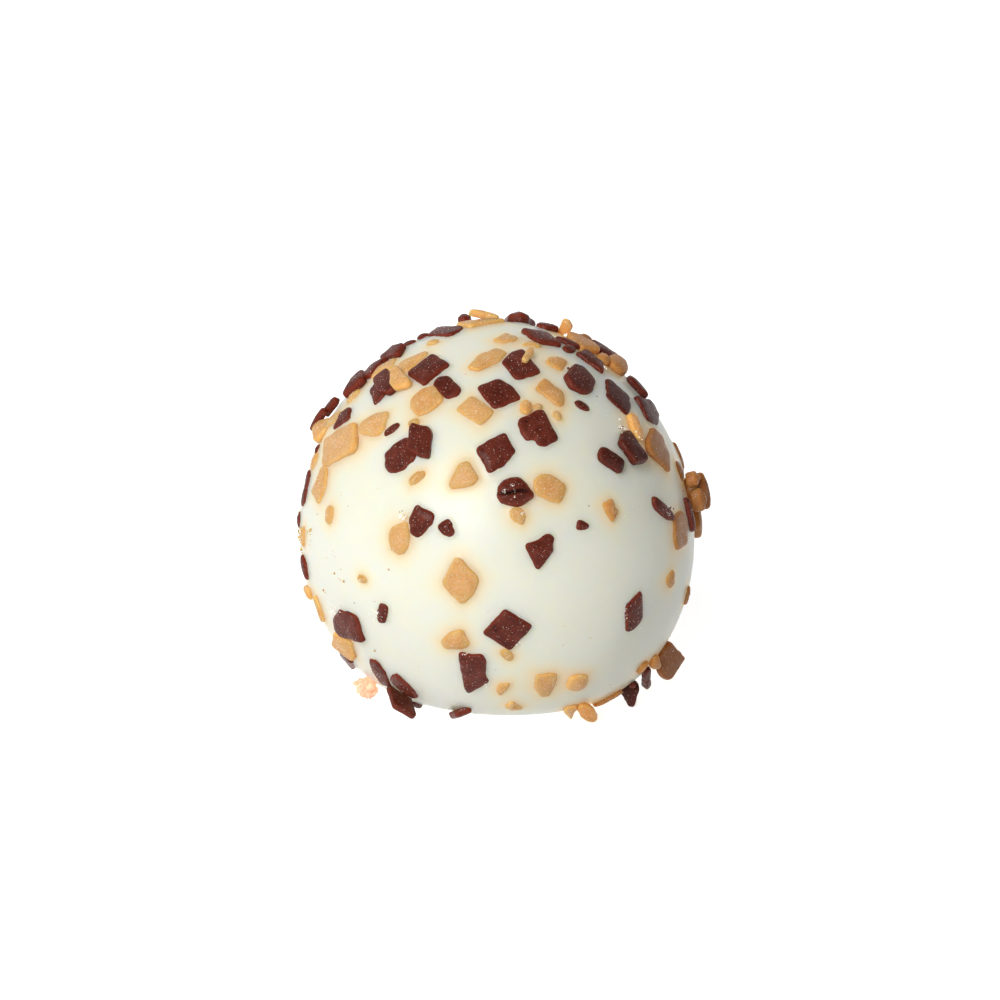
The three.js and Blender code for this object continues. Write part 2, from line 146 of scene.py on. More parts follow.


# Flakes of the side shown, listed one by one. Longitude 0 is the middle of the side shown.
# The values of a row are those of a Flake, in its order.
# In the rows of both kinds, a set tone, the ninth value, is painted shade: it darkens flakes that face away from
# the key lamp.
COCOA_FLAKES = [Flake(*row) for row in (
    (-86, 62, 28, 5, 2.4, Form.TRAPEZE, 0.3, 12), (-84, 54, 50, 4.4, 3.8, Form.LEANING, 0.3),
    (-83, 49, 68, 3.6, 4.1, Form.TRAPEZE, 0.6, 0, 0, 1.4), (-58, 53, -23, 5.5, 2.6, Form.NIB, 0.5),
    (-60, 50, 72, 2.2, 4.3, Form.TRAPEZE), (-40, 61, -14, 4.3, 4.7, Form.SQUARE, 0.2),
    (-24, 56, -33, 4.4, 2.6, Form.LUMP), (-86, 76, 38, 6.2, 3.6, Form.DIAMOND),
    (-95, 70, 60, 1.9, 1.5, Form.BEAN, 0.1), (-93, 66, 50, 2.4, 1.2, Form.BEAN),
    (-137, 77.5, 40, 3.3, 1.8, Form.PEBBLE, 0.4, 0, 0, 1.6),
    (160.5, 75.3, 0, 4.5, 4.2, Form.TOOTH, 0, 10, 0, 1.8), (113, 75.3, 158, 3.2, 3, Form.WEDGE, 0.2, 6),
    (53, 75.3, -110, 4.6, 3.7, Form.SLATE, 0.3, 0, 0.5), (14, 65, -162, 4, 5.1, Form.TILE, 0, 0, 0.4),
    (1, 55, 118, 4.3, 4.2, Form.TILE), (73, 70, -75, 3.6, 2, Form.KITE, 0.2, 0, 0.9),
    (62, 68, -4, 2.2, 1.5, Form.BEAN, 0.2, 0, 0.9), (68, 61.5, -89, 4.3, 2.8, Form.SLAB, 0.2, 4, 1),
    (44, 57, 32, 5, 4.1, Form.LUMP, 0, 10, 0.9), (37, 49, -46, 2.2, 1.3, Form.PEBBLE, 0, 0, 0.8),
    (98, 59, -75, 5.4, 3, Form.BAR, 0.3, 10, 0.8, 1.4), (-71, 40, 37, 3.7, 2.6, Form.TRAPEZE, 0, 3),
    (-90, 34, 76, 3.6, 1.3, Form.BAR, 1.4), (-90, 39, 58, 3.6, 1.3, Form.BEAN, 0.8, 15),
    (-40, 41, 50, 2.4, 1.1, Form.BEAN), (-33, 34, 137, 4, 4.6, Form.CHUNK),
    (-27, 39, 99, 4.8, 3.2, Form.SLATE, 0.4), (-80, 28, 80, 1.4, 1.2, Form.BEAN),
    (-77, 17, -82, 4.9, 1.8, Form.TRAPEZE), (-81, 7, 90, 2.2, 1.8, Form.BEAN),
    (-73, -5, -64, 3.4, 2.8, Form.RHOMB, 0, 5), (-22, 17, -108, 3.8, 3.2, Form.FIST),
    (-14, 16, -47, 2.3, 2, Form.FIST), (-50, -17, -179, 5.8, 4.3, Form.NIB, 0, 6),
    (-34, -10, 73, 3.1, 1.7, Form.CHUNK), (0, 37, 27, 4.4, 4, Form.TILE),
    (15, 43.3, 24, 4.4, 4.8, Form.BOOT, 0, 0, 0.3), (5, 26, -148, 4.1, 3.9, Form.PEAR, 0, 0, 0, 1.7, 0),
    (13, 10, -67, 3.6, 3.8, Form.TOOTH), (25, 16, -13, 1.8, 1.3, Form.FIST), (3, -12, -41, 4.5, 4.8, Form.BAR),
    (-7, -27, -87, 7, 3.5, Form.SLAB), (60.5, 49.3, -67, 4.7, 4.3, Form.DIAMOND, 0, 0, 1.4),
    (87, 48, 90, 3.6, 3.6, Form.TILE, 0.3, 6, 1.3), (78, 41.3, -25, 5.6, 4.1, Form.NIB, 0, 4, 1.3),
    (49, 34, 178, 3.1, 4.9, Form.TILE, 0.1, 18, 1.4), (39.3, 32.3, -45, 4, 2.3, Form.BAR, 0, 0, 1.4, 1.7),
    (56.6, 15.4, -36, 5.1, 1.8, Form.PEAR, 0.1, 6, 0.9), (74, 10, 106, 4.9, 1.7, Form.FIST, 0.2, 8, 1),
    (42, -11, -77, 5.1, 3.1, Form.DIAMOND, 0, 0, 0.8), (-67, -34, 33, 5.4, 3, Form.BAR, 0.1),
    (-44, -33.4, 170, 2.8, 5.5, Form.PEBBLE, 0, 0, 0.4), (-35, -37, -62, 4.7, 2.9, Form.PEAR, 0.1, 0, 0.4),
    (-37.7, -42, -56, 4.5, 4, Form.LEANING, 0.1, 45, 0.5),
    (-40.5, -50.5, 170, 1.3, 2.4, Form.PEBBLE, 0, 9, 1.2), (-17, -47.5, 51, 4.2, 2.1, Form.TRAPEZE, 0, 36),
    (66, -46, 109, 3.4, 3.4, Form.WEDGE, 0.1, 55, 1.4), (70, -40, -137, 1.2, 5.4, Form.DIAMOND, 0, 19, 0.9),
)]
CARAMEL_FLAKES = [Flake(*row) for row in (
    (-75, 57, 52, 3.7, 2.8, Form.BAR), (-51, 55, 70, 2.4, 4.8, Form.FAN, 0.6, 5),
    (-56, 62.5, -113, 4.4, 3.2, Form.FAN), (-64, 71, 30, 1.9, 1.4, Form.BEAN),
    (-31, 51, -37, 4.1, 4.3, Form.LUMP), (-8.5, 49.3, -31, 4.3, 3, Form.SQUARE),
    (-6.5, 67, 138, 2.9, 5.6, Form.PEBBLE), (10, 77, -50, 2.4, 3.1, Form.NIB),
    (20.5, 67, 50, 2.9, 0.9, Form.BAR, 0.7), (39, 64.5, 125, 2.5, 2.9, Form.NIB, 0, 0, 0.5),
    (25.5, 54.3, 36, 2.6, 4.3, Form.TILE, 0, 0, 0.6), (-121, 85.1, -27, 5.9, 3.6, Form.BAR, 0.1),
    (-134, 85, -124, 1.6, 4.1, Form.WEDGE, 0.5, 18), (33.5, 73.5, -25, 2.6, 1.6, Form.WEDGE),
    (109, 71, 61, 1.8, 3, Form.SAIL, 0, 52), (88, 67, -148, 5.4, 3.4, Form.FAN, 0.2, 14, 1),
    (106, 65, -60, 3.4, 2.6, Form.PEBBLE, 0.1, 0, 1.3, 1.9),
    (81, 60, -79, 1.9, 2.5, Form.PEBBLE, 0.2, 7, 1, 1.4),
    (87, 56, -92, 3.1, 4.4, Form.PEBBLE, 0.3, 11, 1.1, 1.4), (-77, 46, 60, 2.6, 2.2, Form.PEBBLE),
    (-80, 37.5, 30, 4.6, 2.2, Form.TRAPEZE), (-63, 33, -48, 5.8, 7.7, Form.SLATE, -0.2, 4),
    (-86, 32, 122, 3.4, 4.2, Form.FAN, 0, 19), (-50, 41, -158, 4.7, 3.6, Form.FIST),
    (-65, 21, 72, 4.5, 3.6, Form.NIB), (-78, 25, 80, 2.4, 2.4, Form.PEBBLE),
    (-32, 44, -143, 1.6, 1.1, Form.PEAR), (-25, 29, 121, 1.5, 2.5, Form.PEAR),
    (-56, 14, 94, 2.5, 1.9, Form.PEBBLE), (-40, -1, 179, 1.6, 1.1, Form.BEAN),
    (-28, 12, -72, 3.9, 3.2, Form.PEAR), (-73, 4, 88, 2.8, 1.9, Form.PEBBLE),
    (-75, -13, 87, 1.6, 2.8, Form.TRAPEZE, 0.3), (-67, -17, -105, 4.3, 1.6, Form.TRAPEZE, 0.1),
    (-57, -26, 107, 4.4, 4.6, Form.KITE, 0, 12), (-11, 30, 33, 3.7, 3.3, Form.FAN),
    (12, 50, -101, 2.1, 1.6, Form.PEBBLE, 0.1, 0, 0, 1.3), (17, 50, -38, 1.3, 1.1, Form.PEBBLE),
    (24, 47, 107, 1.5, 1.1, Form.PEBBLE), (16, 27, -22, 4.2, 3.3, Form.CHUNK),
    (6, 20, 153, 2.3, 1.9, Form.PEAR), (35, 19, -68, 2.7, 1.8, Form.SLAB, 0, 0, 0.8, 1.3),
    (-10, 2, -44, 4.8, 4.3, Form.DIAMOND), (-12, -16, -154, 3.7, 2.9, Form.FIST),
    (3, -20, 131, 2.1, 1.3, Form.LUMP), (2, -33, 83, 2.6, 1.6, Form.SAIL),
    (6, -42, 126, 2.6, 1.7, Form.TRAPEZE), (16, -32, -81, 4.6, 3, Form.FIST),
    (27, -32, 180, 3.1, 3.1, Form.CHUNK, 0, 0, 0, 1.5), (57, 39.5, 70, 3.8, 1.7, Form.BAR, 0.3, 0, 0.4, 1.5),
    (66, 32, 47, 5.2, 5.6, Form.FIST, 0, 4, 1.3), (95, 23, 27, 2.8, 3.4, Form.BAR, 0, 0, 1.4),
    (78, 22.5, 110, 2.7, 2.6, Form.FIST, 0, 0, 1.5), (83, 14, -84, 4.6, 3, Form.PEBBLE, 0.5, 0, 1.5, 1.6),
    (86, 13.5, -84, 5.2, 2.4, Form.BEAN, 1.7, 0, 1.5, 1.6),
    (81, 12.5, -81, 3.2, 2.4, Form.BEAN, 1.1, 0, 1.3, 1.8), (81, 18.5, -5, 2.2, 2, Form.PEBBLE, 1, 0, 1.2, 1.8),
    (93, 3.5, -98, 4.7, 3.7, Form.KITE, 0.2, 9, 1.2, 1.4), (65.4, 7.8, -92, 4.8, 4.8, Form.CHUNK, 0, 0, 1.2),
    (58, -5, -59, 2.3, 2.2, Form.FIST, 0, 0, 0.8), (75, -14, -103, 2.6, 1.3, Form.LEANING, 0, 5, 1.3),
    (76, -34.3, -122, 4.2, 4.9, Form.NIB, 0.1, 42, 1.5), (66, -33.5, -134, 1.6, 2.8, Form.FIST, 0.2, 19, 0.9),
    (57, -33, 68, 2.1, 1.2, Form.TRAPEZE, 0, 18, 1), (52, -46, 50, 4.3, 1.6, Form.SAIL, 0.1, 4, 1.1),
    (40, -47, -115, 2, 3.6, Form.PEBBLE, 0.2, 40, 0.5), (33, -48.5, -155, 1.8, 3.3, Form.WEDGE, 0, 19),
)]
SUGAR_LUMP = Flake(-62, -43, 0, 3.5, 3.3, Form.PEBBLE, lift=0.5, thick=2.6)

# Crumbs of the side shown, round the spots where the photograph has them
COCOA_CRUMBS = [Crumbs(*row) for row in (
    (-28, 19, 2, 0.4, 0.1, 0.2), (-86, 52, 3, 0.8, 0.12, 0.3), (43, 61, 3, 0.5, 0.1, 0.3),
    (50, 40, 4, 0.5, 0.12, 0.3), (60, 15, 3, 0.5, 0.12, 0.4), (28, 21, 1, 0.1, 0.09),
    (61, -41, 3, 0.6, 0.3, 0.3),
)]
CARAMEL_CRUMBS = [Crumbs(*row) for row in (
    (-50, -3, 6, 0.9, 0.11), (-60, -9, 2, 0.3, 0.13), (-31, 3, 1, 0.1, 0.12), (-41, -24, 1, 0.1, 0.12),
    (-36, -7, 1, 0.1, 0.1), (-53, 21, 2, 0.6, 0.08), (-48, 18, 1, 0.2, 0.08), (-69, 5, 9, 1.6, 0.12),
    (-52, 3, 3, 0.7, 0.09), (-81, 4, 22, 2.6, 0.17), (-27.2, 17.6, 5, 0.5, 0.13, 0.3),
    (90, 66, 4, 1.4, 0.25, 0.4),
)]
SUGAR_CRUMBS = [Crumbs(*row) for row in (
    (-27.6, 17.8, 12, 0.5, 0.1, 0.5), (55, 37, 26, 0.6, 0.1, 0.9), (-55, -14, 26, 1, 0.09, 0.55),
    (-52, -12, 18, 1.4, 0.07, 0.5), (6, -16.5, 14, 0.9, 0.07, 0.4), (-10, -20, 18, 0.7, 0.08, 0.4),
    (-3.5, -30.5, 10, 0.5, 0.07, 0.3), (39.5, -10, 20, 1, 0.07, 0.35), (46, -17, 5, 0.3, 0.07, 0.2),
    (-36, -10.5, 26, 0.9, 0.09, 0.35), (69, 58, 14, 0.5, 0.1, 0.5), (18, -29, 10, 0.5, 0.07, 0.4),
    (42.5, 61, 8, 0.5, 0.07, 0.4), (49.5, 40, 18, 0.7, 0.09, 0.45), (57.5, 14, 14, 0.6, 0.08, 0.6),
    (2, 26, 9, 0.25, 0.07, 1.1), (4.6, 27.6, 8, 0.3, 0.07, 1.1), (5, 24.5, 3, 0.1, 0.1, 0.9),
    (-29.6, 8.5, 9, 0.5, 0.06, 0.45), (-40, -1, 4, 0.2, 0.05, 0.5), (7.3, 20.5, 9, 0.35, 0.07, 0.4),
    (-81, 6, 12, 2.4, 0.1, 0.1), (37, 27, 3, 0.5, 0.06), (56, 22, 3, 0.8, 0.06), (-5, 18, 2, 0.6, 0.06),
    (43, 18, 4, 2, 0.05), (49, -9, 2, 0.4, 0.06), (22, -16, 8, 4, 0.05), (48, 46, 3, 0.8, 0.06),
    (40, 28, 4, 1.2, 0.05), (5, -14, 3, 1.5, 0.06),
)]


@dataclass(frozen=True)
class Seat:
    """Where a flake is seated: its own axes as columns, and its origin."""

    axes: Array
    origin: Array

    def place(self, points: Array) -> Array:
        """Return points of the flake's own frame in the ball's frame."""
        return points @ self.axes.T + self.origin

    def within(self, points: Array) -> Array:
        """Return points of the ball's frame in the flake's own frame."""
        return (points - self.origin) @ self.axes


@dataclass(frozen=True)
class Ball:
    """The bare ball: taller than a round one, leaning a little and pressed flat at its foot."""

    width: float = 52.0
    belly_height: float = 21.3
    crown_rise: float = 0.083
    crown_power: float = 2.5
    foot_power: float = 12.0
    foot_settle: float = 0.35
    lean_top: float = 0.03
    lean_foot: float = 0.02
    flake_sink: float = 0.6
    seat_step: float = 0.2

    @property
    def centre(self) -> Array:
        """Return the middle of the widest level."""
        return np.array([0.0, 0.0, self.belly_height])

    @staticmethod
    def direction(lon: float, lat: float) -> Array:
        """Return the unit vector of a longitude and latitude."""
        east, up = radians(lon), radians(lat)
        return np.array([sin(east) * cos(up), -cos(east) * cos(up), sin(up)])

    def reach(self, unit: Array) -> Array:
        """Work out how far the ball reaches from its centre.

        Args:
            unit: Unit vectors, one a row, or a single one.

        Returns:
            The reach along each of them.
        """
        across, rise = unit[..., 0], unit[..., 2]
        half = self.width / 2
        lean = 1 + across * rise * (self.lean_foot * rise - self.lean_top)
        crown = half * (1 + self.crown_rise * np.maximum(rise, 0) ** self.crown_power)
        drop = np.maximum(-rise, 0) / (self.belly_height + self.foot_settle)
        foot = (half**-self.foot_power + drop**self.foot_power) ** (-1 / self.foot_power)
        return np.where(rise >= 0, crown, foot) * lean

    def surface(self, lon: float, lat: float) -> Array:
        """Return the point of the surface at a longitude and latitude."""
        unit = self.direction(lon, lat)
        return unit * self.reach(unit) + self.centre

    def seat(self, flake: Flake) -> Seat:
        """Work out how a flake is seated.

        Args:
            flake: The flake, turned about the straight line out of the ball and then tilted.

        Returns:
            Its seat: x along its length, y across it and z out of its flat top.
        """
        step = self.seat_step
        east = self.surface(flake.lon + step, flake.lat) - self.surface(flake.lon - step, flake.lat)
        north = self.surface(flake.lon, flake.lat + step) - self.surface(flake.lon, flake.lat - step)
        east = east / norm(east)
        out = np.cross(east, north)
        out = out / norm(out)
        north = np.cross(out, east)
        turn, tilt = radians(flake.turn), radians(flake.tilt)
        across = cos(turn) * north - sin(turn) * east
        axes = (
            cos(turn) * east + sin(turn) * north,
            cos(tilt) * across + sin(tilt) * out,
            cos(tilt) * out - sin(tilt) * across,
        )
        height = flake.lift + sin(tilt) * flake.wide / 2 - self.flake_sink
        return Seat(np.column_stack(axes), self.surface(flake.lon, flake.lat) + out * height)


class SeededDraws:
    """Repeatable draws between 0 and 1, the same as the solid's."""

    BITS = 0xFFFFFFFF

    def __init__(self, seed: int) -> None:
        """Start the draws from a seed."""
        self.state = seed & self.BITS

    def __call__(self) -> float:
        """Return the next draw."""
        self.state = (self.state + 0x6D2B79F5) & self.BITS
        mixed = ((self.state ^ (self.state >> 15)) * (1 | self.state)) & self.BITS
        stirred = ((mixed ^ (mixed >> 7)) * (61 | mixed)) & self.BITS
        mixed = ((mixed + stirred) & self.BITS) ^ mixed
        return (mixed ^ (mixed >> 14)) / 4294967296


@dataclass(frozen=True)
class Strewing:
    """The rule that strews flakes over the side that isn't shown, the same as the solid's."""

    spots: int = 350
    seed: int = 20611
    jitter: float = 7.0
    long: tuple[float, float] = (2.2, 5.4)
    small: float = 1.6
    slim: tuple[float, float] = (0.52, 0.95)
    lowest: float = -47.0
    crown: float = 0.75
    belly: float = -0.1
    bare: tuple[float, float] = (0.05, 0.52)
    cocoa: float = 0.52
    clearance: float = 0.43
    shown_limit: float = -0.13
    view_elevation: float = 14.0

    def thinning(self, rise: float) -> float:
        """Return how far the coat has thinned out at a height on the unit ball, from 0 to 1."""
        share = min(max((rise - self.belly) / (self.crown - self.belly), 0.0), 1.0)
        return 1 - share * share * (3 - 2 * share)

    def strew(self, ball: Ball, already: Sequence[Flake]) -> dict[Kind, list[Flake]]:
        """Strew flakes on a jittered spiral, clear of each other and of those already set.

        Args:
            ball: The ball that they lie on.
            already: The flakes set by hand.

        Returns:
            The strewn flakes of each kind.
        """
        draw = SeededDraws(self.seed)
        golden = 180 * (3 - sqrt(5))
        towards_view = ball.direction(0, self.view_elevation)
        taken = [(ball.direction(flake.lon, flake.lat), flake.long) for flake in already]
        strewn: dict[Kind, list[Flake]] = {kind: [] for kind in Kind}
        for spot in range(self.spots):
            level = degrees(asin(1 - (2 * spot + 1) / self.spots))
            lat = level + (draw() - 0.5) * self.jitter
            lon = spot * golden + (draw() - 0.5) * self.jitter
            bare, kind, form, size, slim, turn = [draw() for _ in range(6)]
            unit = ball.direction(lon, lat)
            long = between(self.long, size**self.small)
            shown = float(unit @ towards_view) > self.shown_limit
            low = lat < self.lowest or bare < between(self.bare, self.thinning(unit[2]))
            crowded = any(
                norm(unit - other) * ball.width / 2 < self.clearance * (long + other_long)
                for other, other_long in taken
            )
            if shown or low or crowded:
                continue
            outline = STREWN_FORMS[int(form * len(STREWN_FORMS))]
            taken.append((unit, long))
            chosen = Kind.COCOA if kind < self.cocoa else Kind.CARAMEL
            strewn[chosen].append(Flake(lon, lat, turn * 360, long, long * between(self.slim, slim), outline))
        return strewn


def between(limits: tuple[float, float], share: float) -> float:
    """Return the value at a share of the way between two limits."""
    return limits[0] + (limits[1] - limits[0]) * share


def uneven(points: Array, apart: float, shift: float = 0.0) -> Array:
    """Return smooth noise from about -1 to 1 at each point, with bumps so far apart, moved on by a shift."""
    moved = points / apart + np.array([shift, 1.7 * shift, -2.3 * shift])
    return np.array([noise.noise(Vector(place)) for place in moved])


def outline_gap(places: Array, corners: Array) -> Array:
    """Measure how far flat places lie outside a closed outline.

    Args:
        places: Flat places, one a row.
        corners: The outline's corners in order.

    Returns:
        The distance of each place, 0 inside.
    """
    sides = np.roll(corners, -1, axis=0) - corners
    away = places[:, None, :] - corners[None]
    along = np.clip((away * sides).sum(2) / (sides**2).sum(1), 0, 1)
    nearest = norm(away - along[..., None] * sides, axis=2).min(1)
    level = places[:, None, 1]
    spans = (corners[:, 1] > level) != (corners[:, 1] + sides[:, 1] > level)
    rise = np.where(np.abs(sides[:, 1]) < 1e-9, 1e-9, sides[:, 1])
    crossing = corners[:, 0] + (level - corners[:, 1]) / rise * sides[:, 0]
    inside = (spans & (places[:, None, 0] < crossing)).sum(1) % 2 == 1
    return np.where(inside, 0.0, nearest)


def linked(name: str, data: ID) -> Object:
    """Return a new object with this data, linked to the scene."""
    made = bpy.data.objects.new(name, data)
    bpy.context.scene.collection.objects.link(made)
    return made


@dataclass
class MeshStock:
    """Collects the points, triangles and named fields of many small bodies for one mesh."""

    points: list[Array] = field(default_factory=list)
    triangles: list[Array] = field(default_factory=list)
    fields: dict[str, list[Array]] = field(default_factory=dict)
    count: int = 0

    def add(self, points: Array, triangles: Array, **fields: Array | float) -> None:
        """Add one body, flattened where it would dip into the floor.

        Args:
            points: Its points in millimetres, one a row.
            triangles: Its triangles, counted from its own first point.
            **fields: Under each name, one value or a value for each point.
        """
        self.points.append(np.maximum(points, (-np.inf, -np.inf, 0.0)))
        self.triangles.append(triangles + self.count)
        for name, values in fields.items():
            self.fields.setdefault(name, []).append(np.broadcast_to(values, len(points)))
        self.count += len(points)

    def make(self, name: str, material: Material) -> Object:
        """Make the mesh object.

        Args:
            name: The piece's name.
            material: Its finish.

        Returns:
            The object, linked to the scene.
        """
        mesh = bpy.data.meshes.new(name)
        places, faces = np.concatenate(self.points) * MM, np.concatenate(self.triangles)
        mesh.from_pydata(places.tolist(), [], faces.tolist())
        mesh.polygons.foreach_set("use_smooth", [True] * len(faces))
        for title, values in self.fields.items():
            attribute = mesh.attributes.new(title, "FLOAT", "POINT")
            attribute.data.foreach_set("value", np.concatenate(values).astype(np.float32))
        mesh.materials.append(material)
        mesh.update()
        return linked(name, mesh)


class Value:
    """A socket that shader maths is written with."""

    def __init__(self, shader: "Shader", socket: NodeSocket) -> None:
        """Wrap a socket of a shader."""
        self.shader = shader
        self.socket = socket

    def __add__(self, other: "Value | float") -> "Value":
        """Return the sum."""
        return self.shader.math("ADD", self, other)

    __radd__ = __add__

    def __sub__(self, other: "Value | float") -> "Value":
        """Return the difference."""
        return self.shader.math("SUBTRACT", self, other)

    def __rsub__(self, other: float) -> "Value":
        """Return the difference from a number."""
        return self.shader.math("SUBTRACT", other, self)

    def __mul__(self, other: "Value | float") -> "Value":
        """Return the product."""
        return self.shader.math("MULTIPLY", self, other)

    __rmul__ = __mul__


class Shader:
    """The node tree of a material or a world, written as expressions."""

    def __init__(self, owner: Material | World) -> None:
        """Start from an empty tree."""
        owner.use_nodes = True
        self.owner, self.tree = owner, owner.node_tree
        self.tree.nodes.clear()

    def node(self, kind: str, settings: dict, sockets: dict, output: int | str = 0) -> Value:
        """Add a node.

        Args:
            kind: The node's type.
            settings: Its settings.
            sockets: A value or a link for each of its sockets, by name or number.
            output: The socket that is returned.

        Returns:
            The node's output.
        """
        made = self.tree.nodes.new(kind)
        for name, setting in settings.items():
            setattr(made, name, setting)
        for name, given in sockets.items():
            if isinstance(given, Value):
                self.tree.links.new(given.socket, made.inputs[name])
            else:
                made.inputs[name].default_value = given
        return Value(self, made.outputs[output] if made.outputs else None)

    def math(self, operation: str, first: Value | float, second: Value | float) -> Value:
        """Return the result of a Math node on two values."""
        return self.node("ShaderNodeMath", {"operation": operation}, {0: first, 1: second})

    def step(self, value: Value, low: float, high: float) -> Value:
        """Return 0 below low, 1 above high and a smooth way between, also where low is above high."""
        settings = {"interpolation_type": "SMOOTHSTEP"}
        return self.node("ShaderNodeMapRange", settings, {"Value": value, "From Min": low, "From Max": high})

    def mix(self, share: Value | float, first: Value | Colour, second: Value | Colour) -> Value:
        """Return the colour at a share of the way from the first to the second."""
        return self.node("ShaderNodeMix", {"data_type": "RGBA"}, {0: share, 6: first, 7: second}, 2)

    def layers(self, colour: Value | Colour, *coats: tuple[Value | float, Value | Colour]) -> Value | Colour:
        """Return a colour under coats, each given as its share and its colour."""
        for share, coat in coats:
            colour = self.mix(share, colour, coat)
        return colour

    @cached_property
    def place(self) -> Value:
        """Return the place on the object, in millimetres."""
        spot = self.node("ShaderNodeTexCoord", {}, {}, "Object")
        return self.node("ShaderNodeVectorMath", {"operation": "SCALE"}, {0: spot, "Scale": 1 / MM})

    def cloud(self, apart: float, detail: float = 2.0, swirl: float = 0.0) -> Value:
        """Return soft noise between 0 and 1 whose bumps are so many millimetres apart."""
        lumps = {"Detail": detail, "Roughness": 0.55, "Distortion": swirl}
        return self.node("ShaderNodeTexNoise", {}, {"Vector": self.place, "Scale": 1 / apart, **lumps})

    def grains(self, apart: float) -> Value:
        """Return the distance to the nearest of many strewn points, as a share of their spacing."""
        sockets = {"Vector": self.place, "Scale": 1 / apart}
        return self.node("ShaderNodeTexVoronoi", {"feature": "F1"}, sockets, "Distance")

    def painted(self, name: str) -> Value:
        """Return a named field of the mesh."""
        return self.node("ShaderNodeAttribute", {"attribute_name": name}, {}, "Fac")

    def relief(self, *layers: tuple[Value, float]) -> Value:
        """Return the normal of relief in layers, each given as a height from 0 to 1 and a depth in millimetres."""
        under = {}
        for height, depth in layers:
            sockets = {"Height": height, "Distance": depth * MM, "Strength": 1.0, **under}
            under = {"Normal": self.node("ShaderNodeBump", {}, sockets)}
        return under["Normal"]

    def finish(self, sockets: dict) -> Material:
        """Return the material, ended in a surface with these sockets."""
        surface = self.node("ShaderNodeBsdfPrincipled", {}, sockets)
        self.node("ShaderNodeOutputMaterial", {}, {"Surface": surface})
        return self.owner


def new_shader(name: str) -> Shader:
    """Return the empty shader of a new material."""
    return Shader(bpy.data.materials.new(name))


@dataclass(frozen=True)
class WhiteChocolateFinish:
    """Satin white chocolate that light sinks into, stained where caramel lies in it, with a painted glow over the
    stains and painted contact shade round dark flakes.
    """

    ivory: Colour = screen(248, 249, 231)
    cream: Colour = screen(250, 247, 225)
    amber: Colour = screen(255, 214, 154)
    glow: Colour = screen(255, 206, 130)
    dust: Colour = screen(255, 254, 250)
    painted_contact_shade: Colour = screen(250, 238, 214)
    roughness: float = 0.3
    sink: float = 4.0

    def material(self) -> Material:
        """Return the finish as a material."""
        shader = new_shader("white_chocolate")
        soft = shader.cloud(9.0, 3.0)
        fine = shader.cloud(1.1, 4.0)
        grain = shader.cloud(0.28, 3.0)
        stain = shader.painted("stain") * (0.75 + 0.5 * soft)
        speck = shader.step(shader.grains(1.9), 0.075, 0.03) * shader.step(soft, 0.42, 0.6)
        colour = shader.layers(
            self.ivory,
            (shader.step(soft, 0.35, 0.75), self.cream),
            (stain, self.amber),
            # painted contact shade: a slightly darker, warmer ring round dark flakes that touch the skin
            (shader.painted("contact") * 0.35, self.painted_contact_shade),
            (speck * 0.7, self.dust),
        )
        return shader.finish({
            "Base Color": colour,
            "Roughness": self.roughness + 0.12 * fine + 0.12 * speck,
            "Subsurface Weight": 0.85,
            "Subsurface Radius": (1.0, 0.86, 0.6),
            "Subsurface Scale": self.sink * MM,
            "Specular IOR Level": 0.42,
            # painted glow: the stains give off light of their own, standing in for light through the caramel
            "Emission Color": shader.mix(stain, BLACK, self.glow),
            "Emission Strength": 0.16,
            "Normal": shader.relief((fine, 0.02), (grain, 0.006)),
        })


@dataclass(frozen=True)
class CocoaFinish:
    """Dark chocolate: purple-brown on top, glossier and painted with a reddish glow along its edges, with pits,
    pale specks and painted shade in its hollows.
    """

    brown: Colour = screen(100, 36, 21)
    bloom: Colour = screen(128, 56, 40)
    edge: Colour = screen(134, 50, 30)
    painted_cocoa_shade: Colour = screen(34, 9, 6)
    sugar: Colour = screen(240, 214, 192)

    def material(self) -> Material:
        """Return the finish as a material."""
        shader = new_shader("dark_chocolate")
        edge = shader.painted("edge")
        tone = shader.painted("tone")
        patch = shader.cloud(1.6, 3.0)
        wrinkle = shader.cloud(0.3, 4.0, 1.4)
        fine = shader.cloud(0.13, 3.0)
        pit = shader.step(shader.grains(0.9), 0.24, 0.1) * shader.step(patch, 0.6, 0.42)
        speck = shader.step(shader.grains(0.42), 0.24, 0.1) * shader.step(fine, 0.47, 0.58) * (1 - edge)
        colour = shader.layers(
            self.brown,
            (shader.step(patch + 0.12 * tone, 0.3, 0.75), self.bloom),
            # painted shade in the wrinkle troughs and fine hollows, and over flakes with a set tone
            (shader.step(wrinkle, 0.52, 0.38) * 0.5, self.painted_cocoa_shade),
            (shader.step(fine, 0.48, 0.38) * 0.4, self.painted_cocoa_shade),
            (shader.step(tone, 0.2, 2.4), self.painted_cocoa_shade),
            # painted glow: redder and lighter along the rounded edges, less on shaded flakes
            (edge * (0.6 - 0.2 * tone), self.edge),
            # painted shade in the crease and the pits
            (shader.painted("crease"), self.painted_cocoa_shade),
            (pit * 0.75, self.painted_cocoa_shade),
            (speck * 0.8, self.sugar),
        )
        return shader.finish({
            "Base Color": colour,
            "Roughness": 0.38 - 0.12 * edge + 0.3 * (wrinkle - 0.5),
            "Specular IOR Level": 0.1,
            "Coat Weight": 0.12,
            "Coat Roughness": 0.12,
            "Normal": shader.relief((patch, 0.1), (1 - pit, 0.07), (wrinkle, 0.11), (fine + 0.6 * speck, 0.04)),
        })


